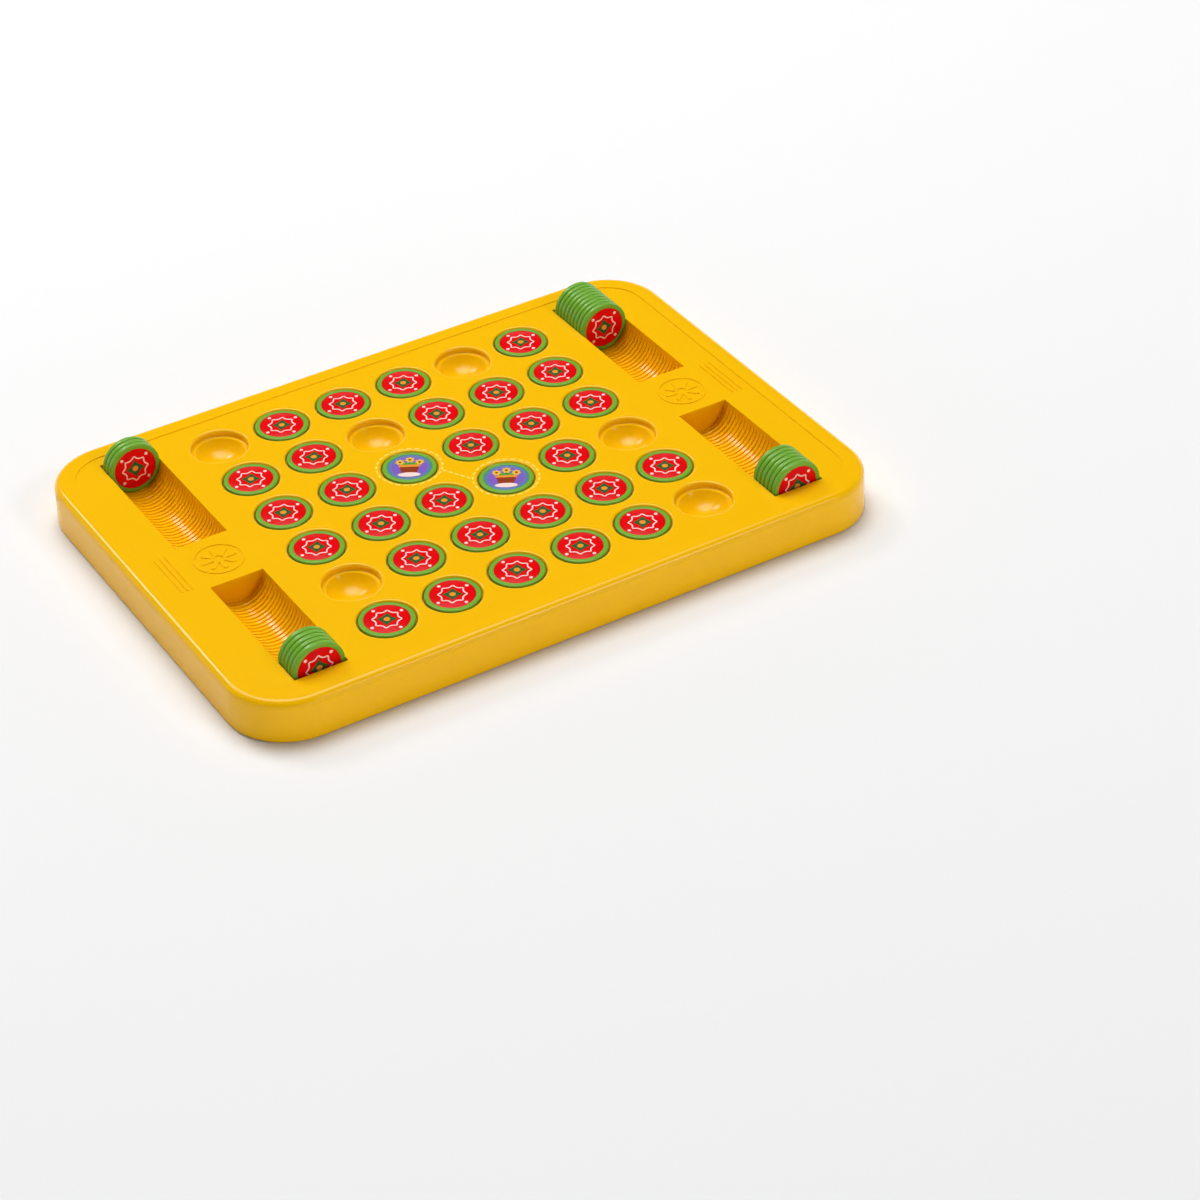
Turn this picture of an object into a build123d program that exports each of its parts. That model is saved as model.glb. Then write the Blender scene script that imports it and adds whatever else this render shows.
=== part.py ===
"""Memory game board with a moulded shell, a screwed-on base, and loose picture tokens.

Frame: millimetres, +Z up, origin under the middle of the board on the surface it stands on.
X runs along the board's long side and Y from the near long side to the far one.
"""

import os

from build123d import *

os.makedirs("parts", exist_ok=True)

# Driving dimensions of the board
pitch = 38.0
pocket_count = 6
board_length = 377.0
board_width = 267.5
corner_radius = 35.0
draft_angle = 1.5
edge_radius = 4.0
wall = 2.2
rim_bottom_z = 0.6
rim_top_z = 24.0
rim_step = 0.4
rim_width = 12.0
field_z = rim_top_z - rim_step

# Tokens: a moulded disc with a paper label let into each face
token_radius = 14.7
token_thickness = 3.2
token_edge_radius = 0.9
label_radius = 12.0
label_thickness = 0.25
label_recess = 0.4
label_clearance = 0.1

# How far a cutting shape stands past the face it opens, and a wall shape stops short of it
reach = 1.0

# How close a point or a radius has to be to the one looked for
near_enough = 0.01

# Pockets: a drafted seat for one token over a round finger dish, with soft edges all through
pocket_radius = 15.6
pocket_foot_radius = 15.2
pocket_lip_radius = 1.6
pocket_floor_radius = 1.0
seat_gap = 0.3
pocket_depth = token_thickness + seat_gap
dish_radius = 13.2
dish_depth = 6.4
dish_edge_radius = 2.0
cup_wall = 1.8

# Racks: half-round troughs that hold tokens on edge, with grooves round their insides. The
# groove depth is that at the bottom; the grooves run out just below the mouth.
rack_x = 142.3
rack_near_y = 20.8
rack_length = 93.7
rack_radius = 15.0
groove_pitch = 2.96
groove_count = 31
first_groove = 2.46
groove_depth = 1.3
groove_top_width = 1.2
groove_floor_width = 0.6
groove_core_radius = 13.4
rack_centre_y = rack_near_y + rack_length / 2
rack_wall = 1.8

# Tokens standing in the racks: side, end, count in the photograph, and gap to the end wall
stack_pitch = 3.42
stacks = {
    "far_left": (-1, 1, 3, 3.5),
    "far_right": (1, 1, 9, 2.6),
    "near_left": (-1, -1, 5, 2.1),
    "near_right": (1, -1, 6, 1.3),
}

# Pockets by column a to f from the left and row 1 to 6 from the near side
columns = "abcdef"
empty_pockets = ("a6", "e6", "c5", "f3", "a2", "f1")
picture_up = ("c4", "d3")

# Raised decoration between the racks
relief = 0.4
emblem_outer_radius = 13.5
emblem_ring_width = 1.0
petal_count = 8
petal_length = 7.8
petal_width = 2.6
petal_centre_radius = 6.0
bar_count = 3
bar_length = 34.0
bar_width = 0.9
bar_spacing = 3.0
first_bar_x = 165.0
bar_places = [
    (side * (first_bar_x + number * bar_spacing), 0)
    for side in (-1, 1)
    for number in range(bar_count)
]

# Base cover, its moulded feet and stiffeners, and its screws
cover_gap = 0.35
cover_bottom_z = 1.4
cover_thickness = 2.0
cover_top_z = cover_bottom_z + cover_thickness
foot_radius = 9.0
foot_edge_radius = 0.6
foot_places = [(x, y) for x in (-150, 0, 150) for y in (-100, 100)]
stiffener_width = 1.6
stiffener_height = 1.8
stiffener_length = 330.0
stiffener_depth = 225.0
stiffener_rows = 3
stiffener_columns = 5
boss_radius = 3.6
boss_foot_z = 5.4
boss_collar_radius = 5.0
pilot_depth = 11.0
screw_hole_radius = 1.7
screw_radius = 1.45
screw_pilot_radius = 1.5
screw_length = 11.0
screw_head_radius = 2.8
screw_head_height = 1.7
screw_head_edge_radius = 0.7
screw_tip_chamfer = 0.6
screw_sink_radius = 3.1
screw_sink_depth = 2.2
screw_slot_width = 0.8
screw_slot_length = 3.2
screw_slot_depth = 0.9
corner_screw = (171.4, 116.3)
screw_places = (
    [(sx * corner_screw[0], sy * corner_screw[1]) for sx in (-1, 1) for sy in (-1, 1)]
    + [(sx * 2 * pitch, sy * pitch) for sx in (-1, 1) for sy in (-1, 1)]
    + [(0, -121.5), (0, 121.5)]
)


def pocket_place(name):
    """The x and y of a pocket named by its column letter and row number."""
    middle = (pocket_count - 1) / 2
    column = columns.index(name[0])
    row = int(name[1]) - 1
    return (column - middle) * pitch, (row - middle) * pitch


pocket_names = [c + str(r + 1) for c in columns for r in range(pocket_count)]
pocket_centres = [pocket_place(name) for name in pocket_names]
rack_centres = [(sx * rack_x, sy * rack_centre_y) for sx in (-1, 1) for sy in (-1, 1)]

# The finger dish is part of a ball; its centre stands above the field
ball_radius = (dish_radius**2 + dish_depth**2) / (2 * dish_depth)
ball_height = ball_radius - pocket_depth - dish_depth

# Inside of one pocket: drafted wall, narrow ledge and round dish
with BuildPart() as pocket_hollow:
    with BuildSketch(Plane.XZ) as pocket_section:
        with BuildLine():
            Polyline(
                (0, reach),
                (pocket_radius, reach),
                (pocket_radius, 0),
                (pocket_foot_radius, -pocket_depth),
                (dish_radius, -pocket_depth),
            )
            RadiusArc(
                (dish_radius, -pocket_depth),
                (0, -pocket_depth - dish_depth),
                ball_radius,
            )
            Line((0, -pocket_depth - dish_depth), (0, reach))
        make_face()
        ledge_points = pocket_section.vertices().filter_by(
            lambda v: abs(v.Y + pocket_depth) < near_enough
        )
        dish_edge, ledge_corner = ledge_points.sort_by(Axis.X)
        fillet(ledge_corner, pocket_floor_radius)
        fillet(dish_edge, dish_edge_radius)
    revolve(axis=Axis.Z)

# Outside of one pocket, as seen from under the shell
cup_outer_radius = pocket_radius + cup_wall
cup_floor = pocket_depth + cup_wall
bulge_ball_radius = ball_radius + cup_wall
bulge_radius = (bulge_ball_radius**2 - (ball_height + cup_floor) ** 2) ** 0.5
bulge_bottom = bulge_ball_radius - ball_height
with BuildPart() as pocket_cup:
    with BuildSketch(Plane.XZ):
        with BuildLine():
            Polyline(
                (0, -reach),
                (cup_outer_radius, -reach),
                (cup_outer_radius, -cup_floor),
                (bulge_radius, -cup_floor),
            )
            RadiusArc(
                (bulge_radius, -cup_floor), (0, -bulge_bottom), bulge_ball_radius
            )
            Line((0, -bulge_bottom), (0, -reach))
        make_face()
    revolve(axis=Axis.Z)

# Inside of one rack: a round trough, and a comb outline turned about a lower axis
rack_end = rack_length / 2
comb_axis_z = -groove_depth
comb = []
for groove in range(groove_count):
    middle_y = -rack_end + first_groove + groove * groove_pitch
    comb += [
        (middle_y - groove_top_width / 2, comb_axis_z + groove_core_radius),
        (middle_y - groove_floor_width / 2, comb_axis_z + rack_radius),
        (middle_y + groove_floor_width / 2, comb_axis_z + rack_radius),
        (middle_y + groove_top_width / 2, comb_axis_z + groove_core_radius),
    ]
comb_start, comb_stop = comb[0][0], comb[-1][0]
with BuildPart() as rack_hollow:
    with BuildSketch(Plane.XZ.offset(-rack_end)):
        Circle(rack_radius)
    extrude(amount=rack_length)
    with BuildSketch(Plane.YZ):
        with BuildLine():
            Polyline(
                (comb_start, comb_axis_z), *comb, (comb_stop, comb_axis_z), close=True
            )
        make_face()
    revolve(axis=Axis((0, 0, comb_axis_z), (0, 1, 0)))

# Outside of one rack, half of a closed round trough
with BuildPart() as rack_trough:
    with BuildSketch(Plane.XZ.offset(-rack_end - rack_wall)):
        Circle(rack_radius + groove_depth + rack_wall)
    extrude(amount=rack_length + 2 * rack_wall)
    split(bisect_by=Plane.XY.offset(-reach), keep=Keep.BOTTOM)

# Top shell: the moulded board with its cups, troughs and screw bosses
with BuildPart() as top_shell:
    with BuildSketch(Plane.XY.offset(rim_bottom_z)):
        RectangleRounded(board_length, board_width, corner_radius)
    extrude(amount=rim_top_z - rim_bottom_z, taper=draft_angle)
    fillet(top_shell.faces().sort_by(Axis.Z)[-1].edges(), edge_radius)
    with BuildSketch(Plane.XY.offset(rim_top_z)):
        RectangleRounded(
            board_length - 2 * rim_width,
            board_width - 2 * rim_width,
            corner_radius - rim_width,
        )
    extrude(amount=-rim_step, mode=Mode.SUBTRACT)
    with BuildSketch(Plane.XY.offset(rim_bottom_z)):
        RectangleRounded(
            board_length - 2 * wall, board_width - 2 * wall, corner_radius - wall
        )
    extrude(
        amount=field_z - wall - rim_bottom_z, taper=draft_angle, mode=Mode.SUBTRACT
    )
    with Locations(*[(x, y, field_z) for x, y in pocket_centres]):
        add(pocket_cup.part)
    with Locations(*[(x, y, field_z) for x, y in rack_centres]):
        add(rack_trough.part)
    with BuildSketch(Plane.XY.offset(boss_foot_z)):
        with Locations(*screw_places):
            Circle(boss_radius)
    extrude(amount=field_z - reach - boss_foot_z)
    with Locations(*[(x, y, field_z) for x, y in pocket_centres]):
        add(pocket_hollow.part, mode=Mode.SUBTRACT)
    with Locations(*[(x, y, field_z) for x, y in rack_centres]):
        add(rack_hollow.part, mode=Mode.SUBTRACT)
    with BuildSketch(Plane.XY.offset(boss_foot_z)):
        with Locations(*screw_places):
            Circle(screw_pilot_radius)
    extrude(amount=pilot_depth, mode=Mode.SUBTRACT)
    lips = (
        top_shell.edges()
        .filter_by(GeomType.CIRCLE)
        .filter_by(lambda e: abs(e.radius - pocket_radius) < near_enough)
        .filter_by(lambda e: abs(e.center().Z - field_z) < near_enough)
    )
    fillet(lips, pocket_lip_radius)
    with BuildSketch(Plane.XY.offset(field_z)):
        with Locations((-rack_x, 0), (rack_x, 0)):
            Circle(emblem_outer_radius)
            Circle(emblem_outer_radius - emblem_ring_width, mode=Mode.SUBTRACT)
            with PolarLocations(petal_centre_radius, petal_count):
                SlotOverall(petal_length, petal_width)
        with Locations(*bar_places):
            SlotOverall(bar_length, bar_width, rotation=90)
    extrude(amount=relief)
top_shell.part.label = "top_shell"
export_step(top_shell.part, "parts/top_shell.step")

# Bottom cover: a flat plate let into the rim, with moulded feet and stiffeners
with BuildPart() as bottom_cover:
    with BuildSketch(Plane.XY.offset(cover_bottom_z)):
        RectangleRounded(
            board_length - 2 * (wall + cover_gap),
            board_width - 2 * (wall + cover_gap),
            corner_radius - wall - cover_gap,
        )
    extrude(amount=cover_thickness, taper=draft_angle)
    with BuildSketch(Plane.XY):
        with Locations(*foot_places):
            Circle(foot_radius)
    extrude(amount=cover_bottom_z)
    fillet(bottom_cover.edges().group_by(Axis.Z)[0], foot_edge_radius)
    with BuildSketch(Plane.XY.offset(cover_top_z)):
        with GridLocations(0, 2 * pitch, 1, stiffener_rows):
            Rectangle(stiffener_length, stiffener_width)
        with GridLocations(2 * pitch, 0, stiffener_columns, 1):
            Rectangle(stiffener_width, stiffener_depth)
    extrude(amount=stiffener_height)
    with BuildSketch(Plane.XY.offset(cover_top_z)):
        with Locations(*screw_places):
            Circle(boss_collar_radius)
    extrude(amount=boss_foot_z - cover_top_z)
    with Locations(Plane.XY.offset(cover_bottom_z).rotated((180, 0, 0))):
        with Locations(*screw_places):
            CounterBoreHole(screw_hole_radius, screw_sink_radius, screw_sink_depth)
bottom_cover.part.label = "bottom_cover"
export_step(bottom_cover.part, "parts/bottom_cover.step")

# Cover screws: round heads below, with a cross slot, and plain shanks up into the bosses
head_top_z = cover_bottom_z + screw_sink_depth
head_bottom_z = head_top_z - screw_head_height
with BuildPart() as cover_screws:
    with BuildSketch(Plane.XY.offset(head_bottom_z)):
        with Locations(*screw_places):
            Circle(screw_head_radius)
    extrude(amount=screw_head_height)
    fillet(cover_screws.edges().group_by(Axis.Z)[0], screw_head_edge_radius)
    with BuildSketch(Plane.XY.offset(head_top_z)):
        with Locations(*screw_places):
            Circle(screw_radius)
    extrude(amount=screw_length)
    chamfer(cover_screws.edges().group_by(Axis.Z)[-1], screw_tip_chamfer)
    with BuildSketch(Plane.XY.offset(head_bottom_z)):
        with Locations(*screw_places):
            Rectangle(screw_slot_length, screw_slot_width)
            Rectangle(screw_slot_width, screw_slot_length)
    extrude(amount=screw_slot_depth, mode=Mode.SUBTRACT)
cover_screws.part.label = "cover_screws"
export_step(cover_screws.part, "parts/cover_screws.step")


def make_token(name, seat):
    """One token on a plane through its middle, whose normal comes out of the back face."""
    back_face = seat.offset(token_thickness / 2)
    picture_face = seat.offset(-token_thickness / 2)
    with BuildPart() as disc:
        with BuildSketch(picture_face):
            Circle(token_radius)
        extrude(amount=token_thickness)
        fillet(disc.edges(), token_edge_radius)
        with BuildSketch(back_face):
            Circle(label_radius + label_clearance)
        extrude(amount=-label_recess, mode=Mode.SUBTRACT)
        with BuildSketch(picture_face):
            Circle(label_radius + label_clearance)
        extrude(amount=label_recess, mode=Mode.SUBTRACT)
    disc.part.label = "disc"
    with BuildPart() as back_label:
        with BuildSketch(back_face.offset(-label_recess)):
            Circle(label_radius)
        extrude(amount=label_thickness)
    back_label.part.label = "back_label"
    with BuildPart() as picture_label:
        with BuildSketch(picture_face.offset(label_recess)):
            Circle(label_radius)
        extrude(amount=-label_thickness)
    picture_label.part.label = "picture_label"
    token = Compound(
        label=name, children=[disc.part, back_label.part, picture_label.part]
    )
    export_step(token, f"parts/{name}.step")


# Tokens lying in the pockets, back up except where the picture shows
seat_z = field_z - token_thickness / 2
for name, (x, y) in zip(pocket_names, pocket_centres):
    if name in empty_pockets:
        continue
    normal = (0, 0, -1) if name in picture_up else (0, 0, 1)
    make_token("pocket_token_" + name, Plane((x, y, seat_z), (1, 0, 0), normal))

# Tokens standing in the racks, counted from the end wall, with their backs to the near side
for rack, (side, end, count, end_gap) in stacks.items():
    stack_start = rack_centre_y + rack_end - end_gap - token_thickness / 2
    for number in range(count):
        y = end * (stack_start - number * stack_pitch)
        seat = Plane((side * rack_x, y, field_z), (1, 0, 0), (0, -1, 0))
        make_token(f"rack_token_{rack}_{number + 1}", seat)
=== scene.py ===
"""A memory card game: a moulded board with pockets and racks, its base, and its printed tokens.

Metres, +Z up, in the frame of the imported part. X runs along the board's long side.
"""

import math

import bmesh
import bpy
from mathutils import Matrix, Quaternion, Vector


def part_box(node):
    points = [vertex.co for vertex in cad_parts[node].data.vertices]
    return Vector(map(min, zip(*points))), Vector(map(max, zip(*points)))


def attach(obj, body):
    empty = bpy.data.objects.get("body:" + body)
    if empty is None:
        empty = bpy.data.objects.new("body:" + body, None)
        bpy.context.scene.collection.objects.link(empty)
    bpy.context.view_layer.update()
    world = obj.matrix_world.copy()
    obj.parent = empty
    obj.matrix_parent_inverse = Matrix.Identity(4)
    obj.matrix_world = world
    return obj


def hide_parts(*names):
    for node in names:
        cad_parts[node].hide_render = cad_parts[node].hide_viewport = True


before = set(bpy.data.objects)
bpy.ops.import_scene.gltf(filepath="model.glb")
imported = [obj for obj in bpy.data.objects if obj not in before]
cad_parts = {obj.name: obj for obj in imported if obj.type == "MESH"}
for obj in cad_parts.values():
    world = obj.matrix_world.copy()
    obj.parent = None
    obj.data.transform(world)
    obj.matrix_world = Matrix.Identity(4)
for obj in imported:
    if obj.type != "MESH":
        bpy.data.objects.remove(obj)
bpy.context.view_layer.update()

MM = 0.001

# How far apart two places may be and still count as one
hair = 0.01 * MM

# Sizes of a token, as in the frame
token_radius = 14.7 * MM
token_thickness = 3.2 * MM
rim_edge = 0.9 * MM
lip_edge = 0.12 * MM
recess_radius = 12.1 * MM
recess_depth = 0.4 * MM
label_radius = 12.0 * MM
label_thickness = 0.25 * MM
label_edge = 0.06 * MM
token_sides = 96
label_top = token_thickness / 2 - recess_depth + label_thickness
smooth_below = math.radians(35)

# Printed inks lie on a label in layers, each a little above the last
ink_thickness = 0.03 * MM
ink_step = 0.018 * MM
ink_sink = 0.024 * MM

# The guide print on the board, round the two tokens whose pictures show
board_top = 23.6 * MM
guide_radius = 17.8 * MM
guide_width = 1.0 * MM
guide_dashes = 25
guide_share = 0.66
guide_corner = 0.3 * guide_width
guide_thickness = 0.06 * MM
guide_sink = guide_thickness / 3
path_dashes = 5
path_start_shift = 0.6 * MM
path_end_shift = -4.6 * MM
shown_tokens = ("pocket_token_c4", "pocket_token_d3")

# The view
view_azimuth = math.radians(-30.2966)
view_elevation = math.radians(36.1287)
view_roll = math.radians(-2.2088)
view_target = Vector((0.00237, -0.14144, 0.0236))
view_distance = 1.6701
view_lens = 99.18

# The floor, in metres: its paper fades out between two distances from the board
floor_size = 12
paper_fade_start = 1.3
paper_fade_end = 3.2

# The studio is white up to a height over the horizon and dim from another one upwards
horizon_top = 0.13
dim_from = 0.36
dim_level = 0.04


# Helpers for modelling
def deselect():
    """Leaves edit mode and selects nothing."""
    if bpy.context.object and bpy.context.object.mode != "OBJECT":
        bpy.ops.object.mode_set(mode="OBJECT")
    bpy.ops.object.select_all(action="DESELECT")


def activate(piece):
    """Makes piece the one selected object."""
    deselect()
    piece.select_set(True)
    bpy.context.view_layer.objects.active = piece


def edit(piece, kind, test):
    """Opens piece in edit mode, with just those faces, edges or vertices selected that pass a test."""
    activate(piece)
    bpy.ops.object.mode_set(mode="EDIT")
    bpy.ops.mesh.select_mode(type=kind)
    bpy.ops.mesh.select_all(action="DESELECT")
    shape = bmesh.from_edit_mesh(piece.data)
    parts = {"FACE": shape.faces, "EDGE": shape.edges, "VERT": shape.verts}[kind]
    for part in parts:
        if test(part):
            part.select_set(True)
    shape.select_flush_mode()
    bmesh.update_edit_mesh(piece.data)


def join(pieces, name):
    """Joins the pieces into the first one, under a new name."""
    activate(pieces[0])
    for piece in pieces:
        piece.select_set(True)
    bpy.ops.object.join()
    bpy.context.object.name = name
    return bpy.context.object


def settle(piece):
    """Puts a piece's place, turn and size into its mesh."""
    activate(piece)
    bpy.ops.object.transform_apply(location=True, rotation=True, scale=True)
    return piece


def thicken(piece, thickness):
    """Turns a flat piece into a closed one that stands up by the thickness."""
    edit(piece, "FACE", lambda face: True)
    bpy.ops.mesh.extrude_region_move(TRANSFORM_OT_translate={"value": (0, 0, thickness)})
    bpy.ops.mesh.select_all(action="SELECT")
    bpy.ops.mesh.normals_make_consistent(inside=False)
    deselect()


# Helpers for materials
plastic_gloss = 0.22
ink_gloss = 0.08
border_share = 0.3
varnish_dull = 0.25
varnish_glossy = 0.19
print_map = "print_place"


def socket_colour(colour):
    """A colour given as sRGB values from 0 to 255, as the linear values that a socket holds."""
    linear = [
        c / 255 / 12.92 if c / 255 <= 0.04045 else ((c / 255 + 0.055) / 1.055) ** 2.4
        for c in colour
    ]
    return (*linear, 1.0)


def mottle(material, place, shader, colour, spread, size):
    """Lets the colour drift a little darker and lighter over patches of that size."""
    nodes, links = material.node_tree.nodes, material.node_tree.links
    patches = nodes.new("ShaderNodeTexNoise")
    patches.inputs["Scale"].default_value = 1 / size
    patches.inputs["Detail"].default_value = 3
    mix = nodes.new("ShaderNodeMix")
    mix.data_type = "RGBA"
    base = socket_colour(colour)
    mix.inputs["A"].default_value = (*[c * (1 - spread) for c in base[:3]], 1)
    mix.inputs["B"].default_value = (*[min(1, c * (1 + spread)) for c in base[:3]], 1)
    links.new(place, patches.inputs["Vector"])
    links.new(patches.outputs["Fac"], mix.inputs["Factor"])
    links.new(mix.outputs["Result"], shader.inputs["Base Color"])


def polish(material, place, shader, dull, glossy, size):
    """Lets the roughness wander between two values over patches of that size."""
    nodes, links = material.node_tree.nodes, material.node_tree.links
    patches = nodes.new("ShaderNodeTexNoise")
    patches.inputs["Scale"].default_value = 1 / size
    patches.inputs["Detail"].default_value = 4
    band = nodes.new("ShaderNodeMapRange")
    band.inputs["From Min"].default_value = 0.3
    band.inputs["From Max"].default_value = 0.7
    band.inputs["To Min"].default_value = glossy
    band.inputs["To Max"].default_value = dull
    links.new(place, patches.inputs["Vector"])
    links.new(patches.outputs["Fac"], band.inputs["Value"])
    links.new(band.outputs["Result"], shader.inputs["Roughness"])


def emboss(material, place, shader, size, depth, strength):
    """Gives the surface a fine moulded grain."""
    nodes, links = material.node_tree.nodes, material.node_tree.links
    grain = nodes.new("ShaderNodeTexNoise")
    grain.inputs["Scale"].default_value = 1 / size
    grain.inputs["Detail"].default_value = 2
    bump = nodes.new("ShaderNodeBump")
    bump.inputs["Distance"].default_value = depth
    bump.inputs["Strength"].default_value = strength
    links.new(place, grain.inputs["Vector"])
    links.new(grain.outputs["Fac"], bump.inputs["Height"])
    links.new(bump.outputs["Normal"], shader.inputs["Normal"])


def new_material(name, colour, **values):
    """A material of one colour, with its shader's other values by socket name."""
    material = bpy.data.materials.new(name)
    material.use_nodes = True
    material.diffuse_color = socket_colour(colour)
    shader = material.node_tree.nodes["Principled BSDF"]
    shader.inputs["Base Color"].default_value = socket_colour(colour)
    for socket, value in values.items():
        shader.inputs[socket.replace("_", " ")].default_value = value
    place = material.node_tree.nodes.new("ShaderNodeTexCoord").outputs["Object"]
    return material, place, shader


def moulded_plastic(name, colour, glossy, dull, grain_depth):
    """Injection-moulded plastic: faint patches of colour, uneven polish and a fine grain."""
    material, place, shader = new_material(name, colour, Specular_IOR_Level=plastic_gloss)
    mottle(material, place, shader, colour, spread=0.02, size=45 * MM)
    polish(material, place, shader, dull, glossy, size=7 * MM)
    emboss(material, place, shader, size=0.7 * MM, depth=grain_depth, strength=0.35)
    return material


def print_ink(name, colour):
    """Printed ink: one clean colour, with the slight unevenness of the varnish over it."""
    material, place, shader = new_material(name, colour, Specular_IOR_Level=ink_gloss)
    polish(material, place, shader, dull=varnish_dull, glossy=varnish_glossy, size=2 * MM)
    emboss(material, place, shader, size=0.25 * MM, depth=0.01 * MM, strength=0.3)
    return material


def spread_from_middle(tree, place, from_max):
    """A value that goes from 0 at the border of a mapped square to 1 towards its middle."""
    nodes, links = tree.nodes, tree.links
    centred = nodes.new("ShaderNodeMapping")
    centred.inputs["Location"].default_value = (-1, -1, 0)
    centred.inputs["Scale"].default_value = (2, 2, 1)
    sphere = nodes.new("ShaderNodeTexGradient")
    sphere.gradient_type = "SPHERICAL"
    band = nodes.new("ShaderNodeMapRange")
    band.interpolation_type = "SMOOTHSTEP"
    band.inputs["From Min"].default_value = 0.0
    band.inputs["From Max"].default_value = from_max
    links.new(place, centred.inputs["Vector"])
    links.new(centred.outputs["Vector"], sphere.inputs["Vector"])
    links.new(sphere.outputs["Fac"], band.inputs["Value"])
    return band.outputs["Result"]


def picture_ground(name, middle, border):
    """The printed ground of a picture, which goes from one colour at its middle to another."""
    material, place, shader = new_material(name, middle, Specular_IOR_Level=ink_gloss)
    nodes, links = material.node_tree.nodes, material.node_tree.links
    spot = nodes.new("ShaderNodeUVMap")
    spot.uv_map = print_map
    inwards = spread_from_middle(material.node_tree, spot.outputs["UV"], from_max=border_share)
    mix = nodes.new("ShaderNodeMix")
    mix.data_type = "RGBA"
    mix.inputs["A"].default_value = socket_colour(border)
    mix.inputs["B"].default_value = socket_colour(middle)
    links.new(inwards, mix.inputs["Factor"])
    links.new(mix.outputs["Result"], shader.inputs["Base Color"])
    polish(material, place, shader, dull=varnish_dull, glossy=varnish_glossy, size=2 * MM)
    return material


def screw_metal():
    """Zinc-plated steel: bright, unevenly polished and finely grained."""
    zinc = (196, 198, 202)
    material, place, shader = new_material("zinc_plate", zinc, Metallic=1.0)
    mottle(material, place, shader, zinc, spread=0.12, size=1.5 * MM)
    polish(material, place, shader, dull=0.42, glossy=0.24, size=0.6 * MM)
    emboss(material, place, shader, size=0.15 * MM, depth=0.01 * MM, strength=0.5)
    return material


yellow_plastic = moulded_plastic(
    "yellow_plastic", (253, 192, 2), glossy=0.17, dull=0.2, grain_depth=0.008 * MM
)
base_plastic = moulded_plastic(
    "base_plastic", (238, 172, 10), glossy=0.4, dull=0.5, grain_depth=0.03 * MM
)
green_plastic = moulded_plastic(
    "green_plastic", (118, 177, 54), glossy=0.18, dull=0.24, grain_depth=0.008 * MM
)
zinc_plate = screw_metal()
inks = {
    "red": print_ink("red_ink", (232, 6, 14)),
    "white": print_ink("white_ink", (252, 222, 216)),
    "green": print_ink("green_ink", (46, 100, 50)),
    "gold": print_ink("gold_ink", (240, 150, 50)),
    "yellow": print_ink("yellow_ink", (244, 196, 60)),
    "brown": print_ink("brown_ink", (150, 62, 34)),
    "blue": print_ink("blue_ink", (40, 110, 190)),
    "leaf": print_ink("leaf_ink", (88, 165, 60)),
    "pink": print_ink("pink_ink", (236, 120, 150)),
    "dark": print_ink("dark_ink", (60, 40, 50)),
}
guide_ink = print_ink("pale_yellow_ink", (255, 228, 98))
grounds = {
    "violet": picture_ground("violet_ground", (132, 96, 198), (84, 138, 164)),
    "sand": picture_ground("sand_ground", (250, 232, 176), (214, 160, 92)),
}


# The board, its base and its screws keep the frame's own shapes
for node, material in (
    ("top_shell", yellow_plastic),
    ("bottom_cover", base_plastic),
    ("cover_screws", zinc_plate),
):
    for material_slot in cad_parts[node].material_slots:
        material_slot.material = material


def make_disc():
    """The moulded disc of a token: round edges, and a shallow recess for a label in each face."""
    deselect()
    bpy.ops.mesh.primitive_cylinder_add(
        vertices=token_sides, radius=token_radius, depth=token_thickness
    )
    disc = bpy.context.object
    for side in (1, -1):
        edit(disc, "FACE", lambda face: face.normal.z * side > 0.9)
        bpy.ops.mesh.inset(thickness=token_radius - recess_radius)
        bpy.ops.mesh.extrude_region_move(
            TRANSFORM_OT_translate={"value": (0, 0, -side * recess_depth)}
        )
    half = token_thickness / 2

    def on_face(edge):
        return all(abs(abs(v.co.z) - half) < hair for v in edge.verts)

    def on_ring(edge, radius):
        return all(abs(v.co.xy.length - radius) < hair for v in edge.verts)

    edit(disc, "EDGE", lambda e: on_face(e) and on_ring(e, token_radius))
    bpy.ops.mesh.bevel(offset=rim_edge, segments=4, affect="EDGES")
    edit(disc, "EDGE", lambda e: on_face(e) and on_ring(e, recess_radius))
    bpy.ops.mesh.bevel(offset=lip_edge, segments=2, affect="EDGES")
    deselect()
    disc.data.materials.append(green_plastic)
    return disc


def make_label(ink):
    """A round label in the recess of a face that points up, mapped from edge to edge."""
    deselect()
    middle = label_top - label_thickness / 2
    bpy.ops.mesh.primitive_cylinder_add(
        vertices=token_sides,
        radius=label_radius,
        depth=label_thickness,
        location=(0, 0, middle),
    )
    label = settle(bpy.context.object)
    edit(label, "EDGE", lambda e: all(v.co.z > middle for v in e.verts))
    bpy.ops.mesh.bevel(offset=label_edge, segments=2, affect="EDGES")
    deselect()
    label.data.uv_layers.active.name = print_map
    for corner, spot in zip(label.data.loops, label.data.uv_layers.active.data):
        point = label.data.vertices[corner.vertex_index].co
        spot.uv = (point.x / label_radius / 2 + 0.5, point.y / label_radius / 2 + 0.5)
    label.data.materials.append(ink)
    return label


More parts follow.
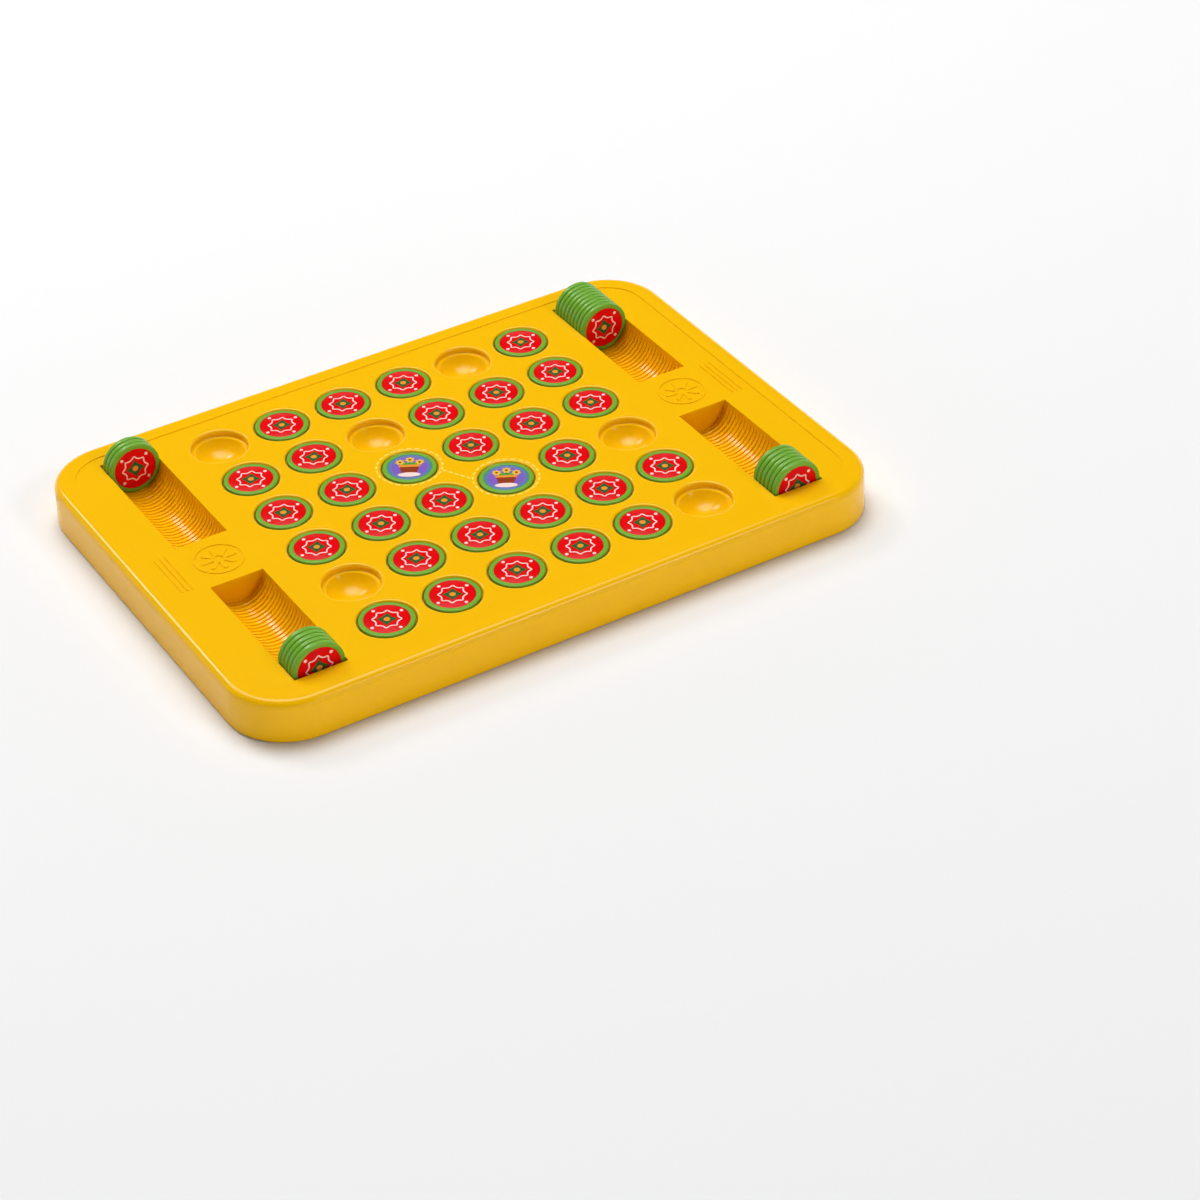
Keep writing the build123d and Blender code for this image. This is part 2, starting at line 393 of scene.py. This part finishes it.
def ink_shape(
    ink, corners, radius, layer=1, place=(0, 0), spin=0, stretch=(1, 1), turn=0,
    taper=1, waist=1, soft=0, line=0,
):
    """A flat printed shape on a label, in millimetres: a polygon turned by spin, stretched, turned
    again and moved to its place. Taper narrows its lower half, waist draws in every other corner,
    soft rounds the corners, and line keeps only an outline of that width."""
    deselect()
    count = corners * 2 if waist != 1 else corners
    middle = label_top - ink_sink + layer * ink_step
    bpy.ops.mesh.primitive_circle_add(
        vertices=count, radius=radius * MM, fill_type="NGON", location=(0, 0, middle)
    )
    shape = bpy.context.object
    centre = (0, 0, middle)
    if waist != 1:
        step = 2 * math.pi / count
        edit(shape, "VERT", lambda v: round(math.atan2(v.co.x, v.co.y) / step) % 2 == 1)
        bpy.ops.transform.resize(value=(waist, waist, 1), center_override=centre)
        deselect()
    shape.rotation_euler.z = math.radians(spin)
    settle(shape)
    shape.scale = (stretch[0], stretch[1], 1)
    settle(shape)
    if taper != 1:
        edit(shape, "VERT", lambda v: v.co.y < -hair)
        bpy.ops.transform.resize(value=(taper, 1, 1), center_override=centre)
    if soft:
        edit(shape, "VERT", lambda v: True)
        bpy.ops.mesh.bevel(offset=soft * MM, segments=4, affect="VERTICES")
    if line:
        edit(shape, "FACE", lambda face: True)
        bpy.ops.mesh.inset(thickness=line * MM)
        bpy.ops.mesh.delete(type="FACE")
    thicken(shape, ink_thickness)
    shape.rotation_euler.z = math.radians(turn)
    shape.location.x, shape.location.y = place[0] * MM, place[1] * MM
    shape.data.materials.append(inks[ink])
    return settle(shape)


def make_back_print():
    """The print on a token's back: a rosette in outline, a star in it and four dots round it."""
    dot_distance = 10.1
    shapes = [
        ink_shape("white", 8, 8.3, waist=0.74, soft=1.2, line=0.75),
        ink_shape("green", 4, 5.2, waist=0.6, soft=0.5),
        ink_shape("gold", 14, 1.7, layer=2),
    ]
    for quarter in range(4):
        angle = math.pi / 4 + quarter * math.pi / 2
        place = (dot_distance * math.cos(angle), dot_distance * math.sin(angle))
        shapes.append(ink_shape("white", 14, 0.95, place=place))
    return shapes


# The pictures, as lists of printed shapes: ink, corners, radius in millimetres, and options
def flower(x, y, size):
    """One yellow flower with a brown eye."""
    return [
        ("yellow", 7, size, dict(layer=3, place=(x, y), waist=0.62, soft=0.35)),
        ("brown", 10, size * 0.3, dict(layer=4, place=(x, y))),
    ]


pictures = {
    "flowerpot": flower(-5.2, 4.8, 2.9)
    + flower(0.1, 6.9, 3.0)
    + flower(5.4, 4.6, 2.9)
    + [
        ("leaf", 12, 2.6, dict(place=(-2.5, 2.4), stretch=(1.3, 0.6), turn=35)),
        ("leaf", 12, 2.6, dict(place=(2.7, 2.4), stretch=(1.3, 0.6), turn=-35)),
        (
            "brown", 4, 6.3,
            dict(layer=2, place=(0, -2.6), spin=45, stretch=(1.25, 0.95), taper=0.7, soft=0.5),
        ),
        ("gold", 4, 2.6, dict(layer=3, place=(0, 1.2), spin=45, stretch=(3.2, 0.55), soft=0.3)),
        ("white", 20, 4.9, dict(layer=3, place=(0, -7.2), stretch=(1.25, 0.42))),
    ],
    "sun": [
        ("gold", 12, 8.6, dict(waist=0.68, soft=0.3)),
        ("yellow", 24, 4.6, dict(layer=2)),
    ],
    "star": [
        ("yellow", 5, 9.0, dict(waist=0.5, soft=0.7)),
        ("white", 5, 4.4, dict(layer=2, waist=0.5, soft=0.4)),
    ],
    "apple": [
        ("red", 22, 4.9, dict(place=(-2.5, -1.2), stretch=(1, 1.15))),
        ("red", 22, 4.9, dict(layer=2, place=(2.5, -1.2), stretch=(1, 1.15))),
        ("brown", 4, 2.6, dict(layer=3, place=(0.4, 5.6), spin=45, stretch=(0.35, 1), turn=-12)),
        ("leaf", 14, 2.4, dict(layer=3, place=(3.2, 6.6), stretch=(1.3, 0.6), turn=28)),
    ],
    "fish": [
        ("gold", 3, 4.4, dict(place=(-6.4, 0), spin=-90, stretch=(0.8, 1.1), soft=0.4)),
        ("gold", 24, 6.4, dict(layer=2, place=(1.4, 0), stretch=(1, 0.68))),
        ("white", 12, 1.3, dict(layer=3, place=(4.4, 1.1))),
        ("dark", 10, 0.7, dict(layer=4, place=(4.6, 1.1))),
    ],
    "boat": [
        (
            "brown", 4, 5.6,
            dict(place=(0, -4.2), spin=45, stretch=(1.8, 0.62), taper=0.62, soft=0.4),
        ),
        ("white", 3, 5.0, dict(layer=2, place=(2.6, 2.2), stretch=(0.8, 1.2), soft=0.3)),
        ("red", 3, 4.2, dict(layer=3, place=(-3.4, 1.4), stretch=(0.7, 1.1), soft=0.3)),
    ],
    "house": [
        ("white", 4, 6.4, dict(place=(0, -2.8), spin=45, stretch=(1.15, 0.95))),
        ("red", 3, 6.6, dict(layer=2, place=(0, 3.6), stretch=(1.25, 0.75), soft=0.3)),
        ("brown", 4, 2.9, dict(layer=3, place=(0, -4.7), spin=45, stretch=(0.8, 1.2))),
    ],
    "tree": [
        ("brown", 4, 4.0, dict(place=(0, -6.0), spin=45, stretch=(0.5, 1.2))),
        ("leaf", 9, 6.2, dict(layer=2, place=(0, 1.6), waist=0.86, soft=0.9)),
        ("green", 9, 3.4, dict(layer=3, place=(-0.8, 2.2), waist=0.86, soft=0.5)),
    ],
    "cup": [
        ("blue", 18, 3.4, dict(place=(5.6, -0.6), line=1.0)),
        (
            "blue", 4, 6.8,
            dict(
                layer=2, place=(-0.6, -0.8), spin=45, stretch=(1.05, 1.05), taper=0.78, soft=0.8
            ),
        ),
        ("white", 20, 4.7, dict(layer=3, place=(-0.6, 3.9), stretch=(1, 0.26))),
    ],
    "ball": [
        ("white", 26, 7.6, dict()),
        ("red", 6, 7.4, dict(layer=2, waist=0.3, soft=0.3)),
        ("blue", 14, 1.8, dict(layer=3)),
    ],
    "mushroom": [
        ("white", 4, 4.8, dict(place=(0, -4.6), spin=45, stretch=(0.8, 1.1), soft=0.8)),
        ("red", 24, 7.6, dict(layer=2, place=(0, 2.2), stretch=(1, 0.68))),
        ("white", 12, 1.3, dict(layer=3, place=(-3.4, 2.4))),
        ("white", 12, 1.5, dict(layer=3, place=(0.6, 4.0))),
        ("white", 12, 1.2, dict(layer=3, place=(3.8, 1.6))),
    ],
    "butterfly": [
        ("pink", 18, 4.2, dict(place=(-4.0, 2.8), stretch=(1, 0.8), turn=-35)),
        ("pink", 18, 4.2, dict(place=(4.0, 2.8), stretch=(1, 0.8), turn=35)),
        ("gold", 16, 3.2, dict(layer=2, place=(-3.1, -3.4), stretch=(0.8, 1), turn=-25)),
        ("gold", 16, 3.2, dict(layer=2, place=(3.1, -3.4), stretch=(0.8, 1), turn=25)),
        ("dark", 14, 5.6, dict(layer=3, stretch=(0.16, 1))),
    ],
    "cherries": [
        ("leaf", 4, 4.8, dict(place=(-1.7, 2.6), spin=45, stretch=(0.12, 1.3), turn=-24)),
        ("leaf", 4, 4.8, dict(place=(2.0, 2.2), spin=45, stretch=(0.12, 1.3), turn=22)),
        ("red", 20, 3.7, dict(layer=2, place=(-4.0, -3.4))),
        ("red", 20, 3.7, dict(layer=2, place=(4.4, -3.9))),
        ("leaf", 14, 2.8, dict(layer=3, place=(2.6, 6.6), stretch=(1.3, 0.6), turn=20)),
    ],
}


def make_picture(name, ground):
    """The picture side of a token: its label with a printed ground, and the shapes on it."""
    shapes = [make_label(grounds[ground])]
    for ink, corners, radius, options in pictures[name]:
        shapes.append(ink_shape(ink, corners, radius, **options))
    picture = join(shapes, "picture")
    picture.rotation_euler.y = math.pi
    return settle(picture)


back_master = join([make_disc(), make_label(inks["red"])] + make_back_print(), "token_back")


def make_token_master(picture):
    """A whole token with one picture, ready to be copied."""
    deselect()
    token = back_master.copy()
    token.data = back_master.data.copy()
    bpy.context.scene.collection.objects.link(token)
    token = join([token, picture], "token_with_picture")
    bpy.ops.object.shade_smooth_by_angle(angle=smooth_below)
    return token


def seat_of(node):
    """Where a token's middle is, and which way its back faces, from its solid in the frame."""
    low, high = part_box(node)
    middle = (low + high) / 2
    if node.startswith("rack"):
        turn = Matrix(((1, 0, 0), (0, 0, -1), (0, 1, 0)))
    else:
        turn = Matrix.Rotation(view_azimuth, 3, "Z")
        if node in shown_tokens:
            turn = turn @ Matrix.Rotation(math.pi, 3, "Y")
    return Matrix.Translation(middle) @ turn.to_4x4()


# Every picture comes at least twice on each of the two grounds; the two shown tokens are a pair
other_tokens = [n for n in sorted(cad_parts) if "_token_" in n and n not in shown_tokens]
sets = [(name, ground) for ground in grounds for name in pictures]
deal = {node: sets[0] for node in shown_tokens}
for number, node in enumerate(other_tokens):
    deal[node] = sets[1 + number % (len(sets) - 1)]
for name, ground in sets:
    master = make_token_master(make_picture(name, ground))
    for node in [n for n in deal if deal[n] == (name, ground)]:
        token = master.copy()
        token.data = master.data.copy()
        token.name = node + "_printed"
        bpy.context.scene.collection.objects.link(token)
        token.matrix_world = seat_of(node)
        settle(token)
        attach(token, node)
        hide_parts(node)
    bpy.data.objects.remove(master)
bpy.data.objects.remove(back_master)


def dash(start, end):
    """One flat dash of the guide print, between two points on the board's top."""
    deselect()
    middle = (start + end) / 2
    bpy.ops.mesh.primitive_plane_add(size=1)
    strip = bpy.context.object
    strip.scale = ((end - start).length, guide_width, 1)
    settle(strip)
    edit(strip, "VERT", lambda v: True)
    bpy.ops.mesh.bevel(offset=guide_corner, segments=2, affect="VERTICES")
    thicken(strip, guide_thickness)
    strip.rotation_euler.z = math.atan2(end.y - start.y, end.x - start.x)
    strip.location = (middle.x, middle.y, board_top - guide_sink)
    return settle(strip)


def make_guide_print():
    """Dashed rings round the two shown tokens, and a dashed line from one to the other."""
    dashes = []
    middles = []
    for node in shown_tokens:
        low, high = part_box(node)
        middle = Vector(((low.x + high.x) / 2, (low.y + high.y) / 2))
        middles.append(middle)
        arc = 2 * math.pi / guide_dashes
        for number in range(guide_dashes):
            ends = [
                middle + guide_radius * Vector((math.cos(a), math.sin(a)))
                for a in (number * arc, (number + guide_share) * arc)
            ]
            dashes.append(dash(*ends))
    along = (middles[1] - middles[0]).normalized()
    across = Vector((-along.y, along.x))
    first = middles[0] + along * guide_radius + across * path_start_shift
    last = middles[1] - along * guide_radius + across * path_end_shift
    for number in range(path_dashes):
        steps = (number + (1 - guide_share) / 2, number + (1 + guide_share) / 2)
        dashes.append(dash(*[first.lerp(last, step / path_dashes) for step in steps]))
    guide = join(dashes, "guide_print")
    guide.data.materials.append(guide_ink)
    return guide


guide_print = make_guide_print()
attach(guide_print, "board")


# Floor, light and camera
def add_softbox(name, towards, distance, size, glow, core, level_axis):
    """A softbox that faces the board from that direction, with its width along an axis. Its glow is
    even over the core, a share of its width, and fades out towards its edges."""
    direction = Vector(towards).normalized()
    across = (Vector(level_axis) - direction * direction.dot(Vector(level_axis))).normalized()
    light = bpy.data.lights.new(name, "AREA")
    light.shape = "RECTANGLE"
    light.size, light.size_y = size
    light.energy = glow * math.pi * size[0] * size[1]
    light.use_nodes = True
    nodes, links = light.node_tree.nodes, light.node_tree.links
    spot = nodes.new("ShaderNodeNewGeometry").outputs["Parametric"]
    fade = spread_from_middle(light.node_tree, spot, from_max=1 - core)
    links.new(fade, nodes["Emission"].inputs["Strength"])
    lamp = bpy.data.objects.new(name, light)
    bpy.context.scene.collection.objects.link(lamp)
    lamp.location = direction * distance
    lamp.rotation_mode = "QUATERNION"
    facing = Matrix((across, direction.cross(across), direction)).transposed()
    lamp.rotation_quaternion = facing.to_quaternion()


sideways = (math.cos(view_azimuth), math.sin(view_azimuth), 0)
along_board = (1, 0, 0)
add_softbox(
    "overhead_bank", towards=(0.12, 0.34, 0.933), distance=6.0, size=(6.8, 5.5), glow=7.3,
    core=0.3, level_axis=sideways,
)
add_softbox(
    "near_box", towards=(0.40, -0.70, 0.59), distance=8.0, size=(1.9, 3.2), glow=13,
    core=0.4, level_axis=sideways,
)
add_softbox(
    "far_box", towards=(-0.14, 0.73, 0.66), distance=3.0, size=(1.3, 1.0), glow=11.5,
    core=0.4, level_axis=along_board,
)
add_softbox(
    "near_strip", towards=(0.1, -1.0, 0.06), distance=3.0, size=(4.0, 0.34), glow=5,
    core=0.6, level_axis=along_board,
)


def floor_paper():
    """Matt white studio paper, which fades far out into the white of the studio."""
    material, place, shader = new_material("floor_paper", (246, 246, 246), Roughness=0.9)
    nodes, links = material.node_tree.nodes, material.node_tree.links
    distance = nodes.new("ShaderNodeVectorMath")
    distance.operation = "LENGTH"
    fade = nodes.new("ShaderNodeMapRange")
    fade.interpolation_type = "SMOOTHSTEP"
    fade.inputs["From Min"].default_value = paper_fade_start
    fade.inputs["From Max"].default_value = paper_fade_end
    fade.inputs["To Min"].default_value = 1.0
    fade.inputs["To Max"].default_value = 0.0
    links.new(place, distance.inputs[0])
    links.new(distance.outputs["Value"], fade.inputs["Value"])
    links.new(fade.outputs["Result"], shader.inputs["Alpha"])
    return material


deselect()
bpy.ops.mesh.primitive_plane_add(size=floor_size)
floor = bpy.context.object
floor.name = "studio_floor"
floor.data.materials.append(floor_paper())

world = bpy.data.worlds.new("studio")
bpy.context.scene.world = world
world.use_nodes = True
world_nodes, world_links = world.node_tree.nodes, world.node_tree.links
sky = world_nodes["Background"]
sky.inputs["Color"].default_value = (1, 1, 1, 1)
direction = world_nodes.new("ShaderNodeTexCoord").outputs["Generated"]
axes = world_nodes.new("ShaderNodeSeparateXYZ")
level = world_nodes.new("ShaderNodeMapRange")
level.interpolation_type = "SMOOTHSTEP"
level.inputs["From Min"].default_value = horizon_top
level.inputs["From Max"].default_value = dim_from
level.inputs["To Min"].default_value = 1.0
level.inputs["To Max"].default_value = dim_level
world_links.new(direction, axes.inputs["Vector"])
world_links.new(axes.outputs["Z"], level.inputs["Value"])
world_links.new(level.outputs["Result"], sky.inputs["Strength"])

camera_data = bpy.data.cameras.new("photo_camera")
camera = bpy.data.objects.new("photo_camera", camera_data)
bpy.context.scene.collection.objects.link(camera)
back = Vector(
    (
        math.sin(view_azimuth) * math.cos(view_elevation),
        -math.cos(view_azimuth) * math.cos(view_elevation),
        math.sin(view_elevation),
    )
)
camera.location = view_target + back * view_distance
camera.rotation_mode = "QUATERNION"
camera.rotation_quaternion = (-back).to_track_quat("-Z", "Y") @ Quaternion(
    (0, 0, 1), view_roll
)
camera_data.lens = view_lens
bpy.context.scene.camera = camera
bpy.context.scene.view_settings.view_transform = "Standard"
